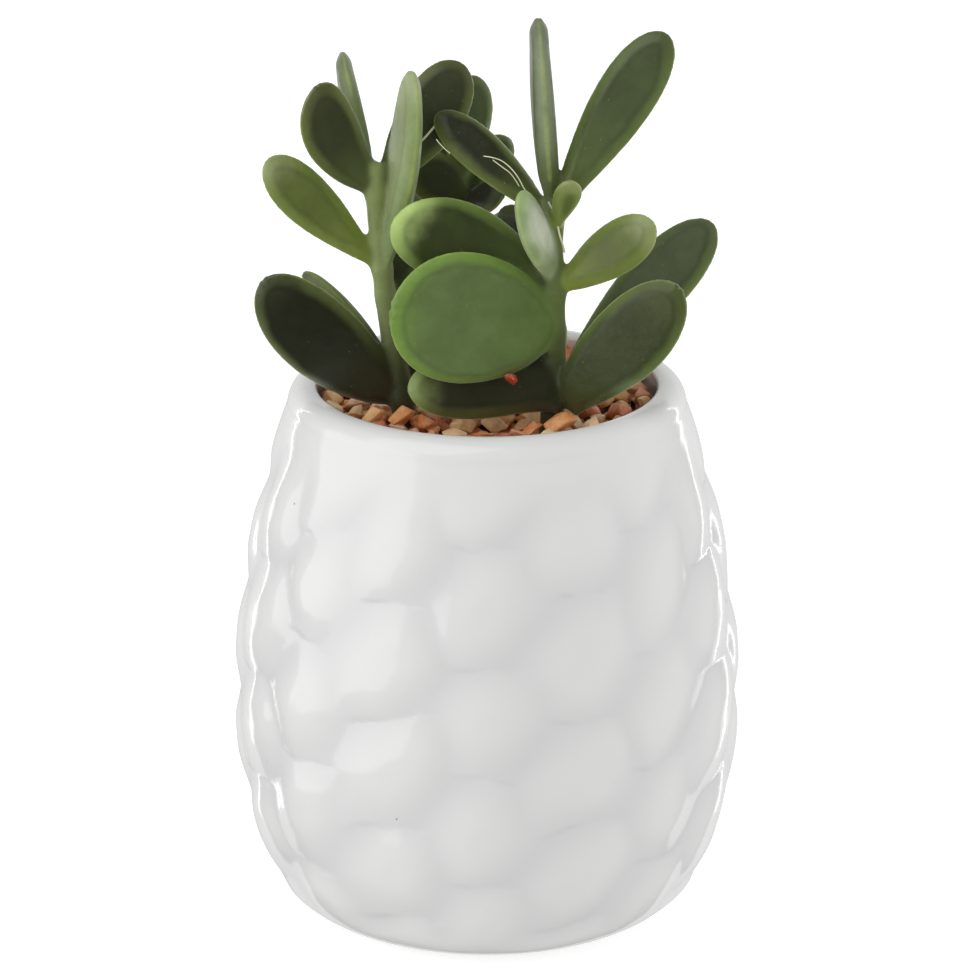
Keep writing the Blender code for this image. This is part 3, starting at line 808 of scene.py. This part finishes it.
def make_gravel(stone):
    rng = np.random.default_rng(SPREAD_SEED)
    shapes = bpy.data.collections.new("pebble_shapes")
    bpy.context.scene.collection.children.link(shapes)
    dice = random.Random(SHAPE_SEED)
    for index in range(PEBBLE_SHAPES):
        mesh = pebble_shape(dice, f"pebble_{index}")
        shapes.objects.link(bpy.data.objects.new(mesh.name, mesh))
    points = []
    widths = []
    for layer in LAYERS:
        places, sizes = spread(rng, layer)
        drops = rng.uniform(0.0, layer.drop, layer.count)
        for (x, y), size, drop in zip(places, sizes, drops):
            points.append((x * MM, y * MM, (layer.top - drop - STONE_SINK * size) * MM))
            widths.append(size)
    tones = list(rng.uniform(0.0, 1.0, len(points)))
    for x, y, size, top, tone in HEAPED:
        points.append((x * MM, y * MM, (top - STONE_SINK * size) * MM))
        widths.append(size)
        tones.append(tone)
    mesh = bpy.data.meshes.new("gravel_points")
    mesh.from_pydata(points, [], [])
    store(mesh, "size", widths)
    store(mesh, "tone", tones)
    gravel = add_object("gravel_topping", mesh)
    run_tree(gravel, gravel_tree(), {"Pebbles": shapes, "Seed": PICK_SEED, "Stone": stone})
    for obj in list(shapes.objects):
        bpy.data.objects.remove(obj, do_unlink=True)
    bpy.data.collections.remove(shapes)
    return gravel


def stone_finish():
    """Orange, tan and pinkish quartz gravel: waxy, mottled, a little see-through."""
    stone = Finish("river_gravel")
    tone = stone.attribute("tone")
    stops = [(0.0, (168, 62, 36)), (0.1, (206, 118, 68)), (0.3, (232, 158, 96)), (0.52, (238, 190, 132)),
             (0.76, (242, 212, 170)), (0.94, (222, 142, 112))]
    colour = stone.value("ShaderNodeValToRGB", {"stops": stops}, {"Fac": tone})
    patch = stone.noise(1.8, 4.0, 0.6).rise(0.42, 0.68)
    colour = stone.mix(colour, (238, 206, 160), patch * 0.35)
    rust = stone.noise(2.6, 5.0, 0.65).rise(0.52, 0.7)
    colour = stone.mix(colour, (164, 74, 36), rust * 0.5)
    grain = stone.noise(0.35, 3.0, 0.6)
    colour = stone.scale(colour, 0.75 + 0.5 * stone.noise(1.0, 4.0, 0.65))
    stone.set(
        Base_Color=colour,
        Roughness=0.3 + 0.25 * grain,
        Subsurface_Weight=0.25,
        Subsurface_Radius=(1.0, 0.5, 0.3),
        Subsurface_Scale=0.0012,
        Normal=stone.bump(stone.noise(0.7, 4.0, 0.6), 0.16),
    )
    return stone.material


# Shape of a leaf: edge points, share of width for a rim, thinning of the ends and its rate, growth and curve
# of the base, fall of the face and curve of the rim
EDGE_POINTS = 160
BEVEL_SHARE = 0.3
THINNING = 0.2
SWELL_RATE = 1.2
BASE_GROWTH = 1.35
BASE_CURVE = 0.6
FALL = 0.12
RIM_CURVE = 1.4


class LeafForm:
    """A leaf's own axes and outline, to lay out its surface and to read a point's place on it."""

    def __init__(self, leaf):
        self.leaf = leaf
        self.base = np.array(leaf.base)
        along = np.array(leaf.tip) - self.base
        self.length = np.linalg.norm(along)
        self.forward = along / self.length
        facing = np.array(leaf.facing)
        facing = facing - self.forward * facing.dot(self.forward)
        self.facing = facing / np.linalg.norm(facing)
        self.side = np.cross(self.facing, self.forward)
        self.bevel = min(BEVEL, BEVEL_SHARE * leaf.width)
        share = np.linspace(0.0, 1.0, EDGE_POINTS)
        reach = self.half_width(share)
        edge = np.column_stack((share * self.length, reach))
        self.edge = np.concatenate((edge, edge * (1.0, -1.0)))

    def half_width(self, t):
        """Half the blade's width, and the stalk's near the base."""
        power = math.log(0.5) / math.log(self.leaf.widest)
        grown = t ** power
        blade = 2.0 * np.sqrt(np.clip(grown * (1.0 - grown), 0.0, None))
        ring = 2.0 * np.sqrt(np.clip(t * (1.0 - t), 0.0, None))
        stalk = self.leaf.stalk * (1.0 - t) ** 3 * np.minimum(1.0, 3.0 * ring)
        return np.hypot(0.5 * self.leaf.width * blade, stalk)

    def edge_distance(self, t, x):
        """How far in from the outline, for places along and across the blade."""
        place = np.column_stack((t * self.length, x))
        return np.min(np.linalg.norm(place[:, None] - self.edge[None], axis=2), axis=1)

    def half_thickness(self, t, x):
        """A nearly flat face with a sloped rim, thinner at the ends."""
        ring = 2.0 * np.sqrt(np.clip(t * (1.0 - t), 0.0, None))
        swell = 1.0 - THINNING + THINNING * np.sin(math.pi * np.minimum(1.0, SWELL_RATE * t))
        base = np.where(t < 0.5, np.minimum(1.0, BASE_GROWTH * ring) ** BASE_CURVE, 1.0)
        reach = np.maximum(self.half_width(t), TINY)
        crown = 1.0 - FALL * (x / reach) ** 2
        q = np.minimum(1.0, self.edge_distance(t, x) / self.bevel)
        rim = (1.0 - (1.0 - q) ** RIM_CURVE) ** (1.0 / RIM_CURVE)
        return 0.5 * self.leaf.thick * swell * base * crown * rim

    def bent(self, t, x, lift):
        """Places in space of points given along, across and out from the blade, with its bow."""
        bow = (4.0 * t * (1.0 - t))[:, None]
        return (self.base + self.forward * (self.length * t)[:, None]
                + self.side * (x[:, None] + self.leaf.sweep * bow)
                + self.facing * (lift[:, None] + self.leaf.arch * bow))

    def shell(self, sides=64, rings=60):
        """Corners and faces of the leaf's closed surface."""
        turn = np.arange(sides) * math.tau / sides
        share = 0.5 * (1.0 - np.cos(math.pi * np.arange(1, rings) / rings))
        t = np.repeat(share, sides)
        x = np.tile(np.cos(turn), rings - 1) * self.half_width(t)
        lift = np.tile(np.sign(np.round(np.sin(turn), 9)), rings - 1) * self.half_thickness(t, x)
        points = self.bent(t, x, lift)
        ends = self.bent(np.array([0.0, 1.0]), np.zeros(2), np.zeros(2))
        return np.concatenate((points, ends)), band_faces(rings - 1, sides) + pole_faces(rings - 1, sides)

    def read(self, points):
        """Along, distance in from the rim and front or back, for points on the leaf."""
        away = points - self.base
        t = np.clip(away.dot(self.forward) / self.length, 0.0, 1.0)
        bow = 4.0 * t * (1.0 - t)
        x = away.dot(self.side) - self.leaf.sweep * bow
        lift = away.dot(self.facing) - self.leaf.arch * bow
        inside = np.where(np.abs(x) < self.half_width(t), self.edge_distance(t, x), 0.0)
        return t, inside, lift


# Shape of a stem: ring height, rounds of smoothing, bark, swelling at a leaf and its spread, height and least
# share of its rounded top
RING_STEP = 0.4
STEM_ROUNDS = 12
BARK = 0.12
NODE_SWELL = 0.14
NODE_SPREAD = 1.1
CROWN_HEIGHT = 1.2
CROWN_LEAST = 0.02


def stem_shell(stem, sides=32):
    """Corners and faces of the round stem, swollen a little where leaves leave it."""
    x, y, _ = stem.path[0]
    places = np.array([(x, y, STEM_FOOT), *stem.path])
    radii = np.array([stem.radii[0], *stem.radii])
    heights = places[:, 2]
    levels = np.arange(heights[0], heights[-1], RING_STEP)
    centre = np.column_stack([np.interp(levels, heights, places[:, axis]) for axis in range(3)])
    for _ in range(STEM_ROUNDS):
        centre[1:-1] = 0.5 * centre[1:-1] + 0.25 * (centre[:-2] + centre[2:])
    radius = np.interp(levels, heights, radii) + BARK
    for leaf in stem.leaves:
        radius += NODE_SWELL * np.exp(-((levels - leaf.base[2]) / NODE_SPREAD) ** 2)
    crown = np.clip((heights[-1] - levels) / CROWN_HEIGHT, 0.0, 1.0)
    radius *= np.sqrt(1.0 - (1.0 - crown) ** 2) * (1.0 - CROWN_LEAST) + CROWN_LEAST
    turn = np.arange(sides) * math.tau / sides
    ring = np.column_stack((np.cos(turn), np.sin(turn), np.zeros(sides)))
    points = (centre[:, None] + radius[:, None, None] * ring[None]).reshape(-1, 3)
    faces = band_faces(len(levels), sides)
    faces.append(tuple(range(sides))[::-1])
    faces.append(tuple(len(points) - sides + k for k in range(sides)))
    return points, faces, centre


def relax(values, edges, amount, rounds):
    """Draws each corner's values towards its neighbours' mean, by an amount for each corner."""
    count = len(values)
    ends = np.concatenate((edges[:, 0], edges[:, 1]))
    others = np.concatenate((edges[:, 1], edges[:, 0]))
    neighbours = np.bincount(ends, minlength=count)[:, None]
    for _ in range(rounds):
        total = np.column_stack([np.bincount(ends, weights=values[others, k], minlength=count)
                                 for k in range(values.shape[1])])
        values = values + amount[:, None] * (total / neighbours - values)
    return values


def fused_mesh(name, points, faces):
    """One skin round shells that run into each other, with even faces."""
    mesh = bpy.data.meshes.new(name)
    mesh.from_pydata(points, [], faces)
    obj = add_object(name, mesh)
    skin = obj.modifiers.new("skin", "REMESH")
    skin.mode = "VOXEL"
    skin.voxel_size = VOXEL
    skin.use_smooth_shade = True
    bake(obj)
    return obj


def linear_tone(tone):
    """The four colours of a tone in one row, as linear light."""
    return np.concatenate([from_display(part)[:3] for part in tone])


# Joint of leaf and stem: where it ends, amount and rounds of smoothing for places and colours; then amount
# and rounds for the whole skin and its colours, and a stem's place in from a rim
JOINT_REACH = (2.4, 4.6)
JOINT_AMOUNT = 0.5
JOINT_ROUNDS = 14
COLOUR_ROUNDS = 10
SKIN_RELAX = (0.3, 2)
COLOUR_RELAX = (0.4, 1)
STEM_INSIDE = 1.2


def make_stem(stem, green):
    """A stem and its leaves in one skin that holds each corner's place on its leaf and its colours."""
    forms = [LeafForm(leaf) for leaf in stem.leaves]
    points, faces, centre = stem_shell(stem)
    owner = [0] * len(faces)
    for index, form in enumerate(forms):
        more, sheets = form.shell()
        start = len(points)
        points = np.concatenate((points, more))
        faces += [tuple(start + corner for corner in face) for face in sheets]
        owner += [index + 1] * len(sheets)
    source = BVHTree.FromPolygons([Vector(p) for p in points], faces)
    obj = fused_mesh(stem.name + "_grown", [tuple(p) for p in points], faces)
    mesh = obj.data
    count = len(mesh.vertices)
    skin = corners_of(mesh)
    edges = np.empty(len(mesh.edges) * 2, dtype=np.int64)
    mesh.edges.foreach_get("vertices", edges)
    edges = edges.reshape(-1, 2)
    owners = np.zeros(count, dtype=int)
    for index, point in enumerate(skin):
        place, _, face, _ = source.find_nearest(Vector(point))
        skin[index] = place
        owners[index] = owner[face]
    from_stem = np.full(count, FAR)
    for place in centre:
        from_stem = np.minimum(from_stem, np.linalg.norm(skin - place, axis=1))
    joint = JOINT_AMOUNT * (1.0 - smoothstep(*JOINT_REACH, from_stem))
    skin = relax(skin, edges, joint, JOINT_ROUNDS)
    skin = relax(skin, edges, np.full(count, SKIN_RELAX[0]), SKIN_RELAX[1])
    layout = np.zeros((count, 4))
    layout[:, 1] = STEM_INSIDE
    # Darker towards the foot: painted shade
    grown = smoothstep(*FOOT_SHADE, skin[:, 2:3])
    colours = linear_tone(STEM_FOOT_SHADE_TONE) * (1.0 - grown) + linear_tone(stem.tone) * grown
    for index, form in enumerate(forms):
        mine = owners == index + 1
        t, inside, lift = form.read(skin[mine])
        layout[mine] = np.column_stack((t, inside, np.sign(lift), np.ones(len(t))))
        colours[mine] = linear_tone(TONES[form.leaf.tone])
    mixed = relax(np.concatenate((layout, colours), axis=1), edges, joint, COLOUR_ROUNDS)
    mixed = relax(mixed, edges, np.full(count, COLOUR_RELAX[0]), COLOUR_RELAX[1])
    store(mesh, "leaf_place", mixed[:, 0:3])
    store(mesh, "leaf_share", mixed[:, 3])
    for part, column in zip(Tone._fields, range(4, 16, 3)):
        store(mesh, part + "_colour", mixed[:, column:column + 3])
    mesh.vertices.foreach_set("co", (skin * MM).ravel())
    mesh.update()
    dress(mesh, green)
    mesh.shade_smooth()
    return obj


def make_threads(dry):
    """Fine curved threads as round tubes with closed ends."""
    curve = bpy.data.curves.new("dry_threads", "CURVE")
    curve.dimensions = "3D"
    curve.bevel_depth = 0.5 * MM
    curve.bevel_resolution = 1
    curve.use_fill_caps = True
    curve.resolution_u = 6
    for width, corners in THREADS:
        spline = curve.splines.new("NURBS")
        spline.points.add(len(corners) - 1)
        for point, corner in zip(spline.points, corners):
            point.co = (*(value * MM for value in corner), 1.0)
            point.radius = width
        spline.order_u = 3
        spline.use_endpoint_u = True
    guide = add_object("dry_threads", curve)
    mesh = evaluated_mesh(guide)
    bpy.data.objects.remove(guide, do_unlink=True)
    dress(mesh, dry)
    mesh.shade_smooth()
    return add_object("dry_threads", mesh)


def thread_finish():
    dry = Finish("dry_thread")
    cloud = dry.noise(1.5, 3.0)
    dry.set(Base_Color=dry.mix((206, 206, 140), (240, 240, 220), cloud),
            Roughness=0.45 + 0.2 * cloud)
    return dry.material


def leaf_finish():
    """Waxy leaf skin: face, rim, base and tip colours, tiny specks, and painted light through the rim, a
    painted highlight on the edge and painted shade in the crease.
    """
    green = Finish("jade_leaf")
    along, inside, _ = green.split(green.attribute("leaf_place", "Vector"))
    leafy = green.attribute("leaf_share")
    cloud = green.noise(6.0, 4.0, 0.55)
    fine = green.noise(0.8, 4.0, 0.6)
    patch = green.noise(2.4, 3.0, 0.6)
    uneven = inside + (cloud - 0.5) * 2.0
    rim = (1.0 - uneven.rise(0.2, 2.0)) * along.rise(0.08, 0.4)
    edge_highlight = 1.0 - inside.rise(0.05, 0.3)
    fold_shade = uneven.rise(1.1, 1.7) * (1.0 - uneven.rise(1.7, 2.4)) * leafy
    face, backlit_rim_colour, base, tip = [green.attribute(part + "_colour", "Vector") for part in Tone._fields]
    # Lighter towards the rim in the rim colour: painted light shining through the thin edge
    colour = green.mix(face, backlit_rim_colour, rim * 0.8)
    low = (1.0 - (along + (cloud - 0.5) * 0.25).rise(0.05, 0.6)) * leafy
    colour = green.mix(colour, base, low * 0.8)
    # Towards the tip the tip colour: the leaf's own where darker, painted sheen where paler and greyer
    high = (along + (cloud - 0.5) * 0.2).rise(0.76, 1.0) * leafy
    colour = green.mix(colour, tip, high * 0.7)
    # A pale yellow-green streak right on the edge: a painted highlight
    colour = green.mix(colour, (176, 190, 104), edge_highlight * leafy * patch * 0.6)
    # Random clouds of lighter and darker, and painted shade in the crease where the rim's slope meets the
    # face
    colour = green.scale(colour, (0.7 + 0.6 * cloud) * (0.85 + 0.3 * patch) * (0.92 + 0.16 * fine)
                         * (1.0 - 0.24 * fold_shade * patch))
    speck = (1.0 - green.cells(1.7).rise(0.03, 0.06)) * leafy
    colour = green.mix(colour, (186, 194, 160), speck * 0.45)
    green.set(
        Base_Color=colour,
        Roughness=0.3 + 0.2 * cloud + 0.06 * fine,
        Coat_Weight=0.25,
        Coat_Roughness=0.3,
        Sheen_Weight=0.35,
        Sheen_Roughness=0.35,
        Subsurface_Weight=0.2,
        Subsurface_Radius=(0.5, 1.0, 0.2),
        Subsurface_Scale=0.001,
        Normal=green.bump(fine, 0.05, normal=green.bump(green.noise(3.0, 3.0, 0.5), 0.3)),
    )
    return green.material


Softbox = namedtuple("Softbox", "name azimuth elevation width height watts lights shines")
# Softboxes round the plant: azimuth from the front, to the right, and height in degrees, metres, watts,
# and whether they light the dull skin and show in the shine
SOFTBOXES = (
    Softbox("soft_top", -50.0, 58.0, 1.3, 1.3, 5.0, True, True),
    Softbox("soft_left", -72.0, 8.0, 1.75, 1.3, 7.0, True, True),
    Softbox("soft_right", 105.0, 5.0, 0.9, 1.3, 5.8, True, False),
    Softbox("soft_back", 180.0, -10.0, 3.0, 2.4, 15.0, False, True),
    Softbox("edge_right", 137.0, 0.0, 0.03, 1.4, 0.8, False, True),
    Softbox("edge_left", -134.0, 0.0, 0.03, 1.4, 0.7, False, True),
)
LIGHT_DISTANCE = 1.4
LIGHT_TARGET = Vector((0.0, 0.0, 0.07))
# Light of the room, and its change towards the right and the top
ROOM_GLOW = 0.78
GLOW_RIGHT = 0.12
GLOW_UP = -0.14
# White ground: metres across from the middle, and millimetres below the foot
GROUND_RADIUS = 6.0
GROUND_DROP = 0.02
# View: degrees down, what it looks at and from how far, metres, and a long lens
VIEW_TILT = math.radians(19.7)
VIEW_TARGET = Vector((-0.0003, 0.0, 0.064875))
VIEW_DISTANCE = 0.675
SENSOR = 36.0
LENS = 4500.0 / 970.0 * SENSOR


def soft_light(box):
    """A flat softbox that looks at the middle of the plant."""
    data = bpy.data.lights.new(box.name, "AREA")
    data.shape = "RECTANGLE"
    data.size = box.width
    data.size_y = box.height
    data.energy = box.watts
    light = bpy.data.objects.new(box.name, data)
    turn = math.radians(box.azimuth)
    rise = math.radians(box.elevation)
    light.location = (LIGHT_DISTANCE * math.sin(turn) * math.cos(rise),
                      -LIGHT_DISTANCE * math.cos(turn) * math.cos(rise), LIGHT_DISTANCE * math.sin(rise))
    light.rotation_euler = (LIGHT_TARGET - light.location).to_track_quat("-Z", "Y").to_euler()
    light.visible_diffuse = box.lights
    light.visible_glossy = box.shines
    light.visible_camera = False
    bpy.context.scene.collection.objects.link(light)


def make_stage():
    """A bright room, white ground that only the camera sees, and the softboxes."""
    scene = bpy.context.scene
    scene.view_settings.view_transform = "Standard"
    world = bpy.data.worlds.new("studio")
    world.use_nodes = True
    room = Graph(world.node_tree)
    toward = room.value("ShaderNodeTexCoord", output="Generated")
    x, _, z = room.split(toward)
    glow = ROOM_GLOW + GLOW_RIGHT * x + GLOW_UP * z
    backdrop = room.tree.nodes["Background"]
    backdrop.inputs["Color"].default_value = (1.0, 1.0, 1.0, 1.0)
    room.tree.links.new(glow.socket, backdrop.inputs["Strength"])
    scene.world = world
    world.cycles_visibility.glossy = False
    shape = bmesh.new()
    bmesh.ops.create_circle(shape, cap_ends=True, segments=96, radius=GROUND_RADIUS)
    floor = add_object("floor", mesh_from(shape, "floor"))
    floor.location.z = -GROUND_DROP * MM
    paper = Finish("white_paper")
    paper.set(Base_Color=(0.92, 0.92, 0.92, 1.0), Roughness=0.9, Specular_IOR_Level=0.1,
              Emission_Color=(1.0, 1.0, 1.0, 1.0), Emission_Strength=0.35)
    dress(floor.data, paper.material)
    floor.visible_diffuse = floor.visible_glossy = floor.visible_shadow = False
    for box in SOFTBOXES:
        soft_light(box)


def make_camera():
    """The view of the photograph: a long lens, looking a little down from the front."""
    data = bpy.data.cameras.new("camera")
    data.lens = LENS
    data.sensor_width = SENSOR
    camera = bpy.data.objects.new("camera", data)
    back = Vector((0.0, -math.cos(VIEW_TILT), math.sin(VIEW_TILT)))
    camera.location = VIEW_TARGET + VIEW_DISTANCE * back
    camera.rotation_euler = (-back).to_track_quat("-Z", "Y").to_euler()
    bpy.context.scene.collection.objects.link(camera)
    bpy.context.scene.camera = camera


def place(piece, node, slot):
    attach(piece, "root")
    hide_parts(node)


green = leaf_finish()
place(make_pot(glaze_finish()), "pot", "glaze")
place(make_soil(soil_finish()), "soil", "soil")
place(make_gravel(stone_finish()), "gravel", "gravel")
for grown in STEMS:
    place(make_stem(grown, green), grown.name, "leaf")
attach(make_threads(thread_finish()), "root")
make_stage()
make_camera()
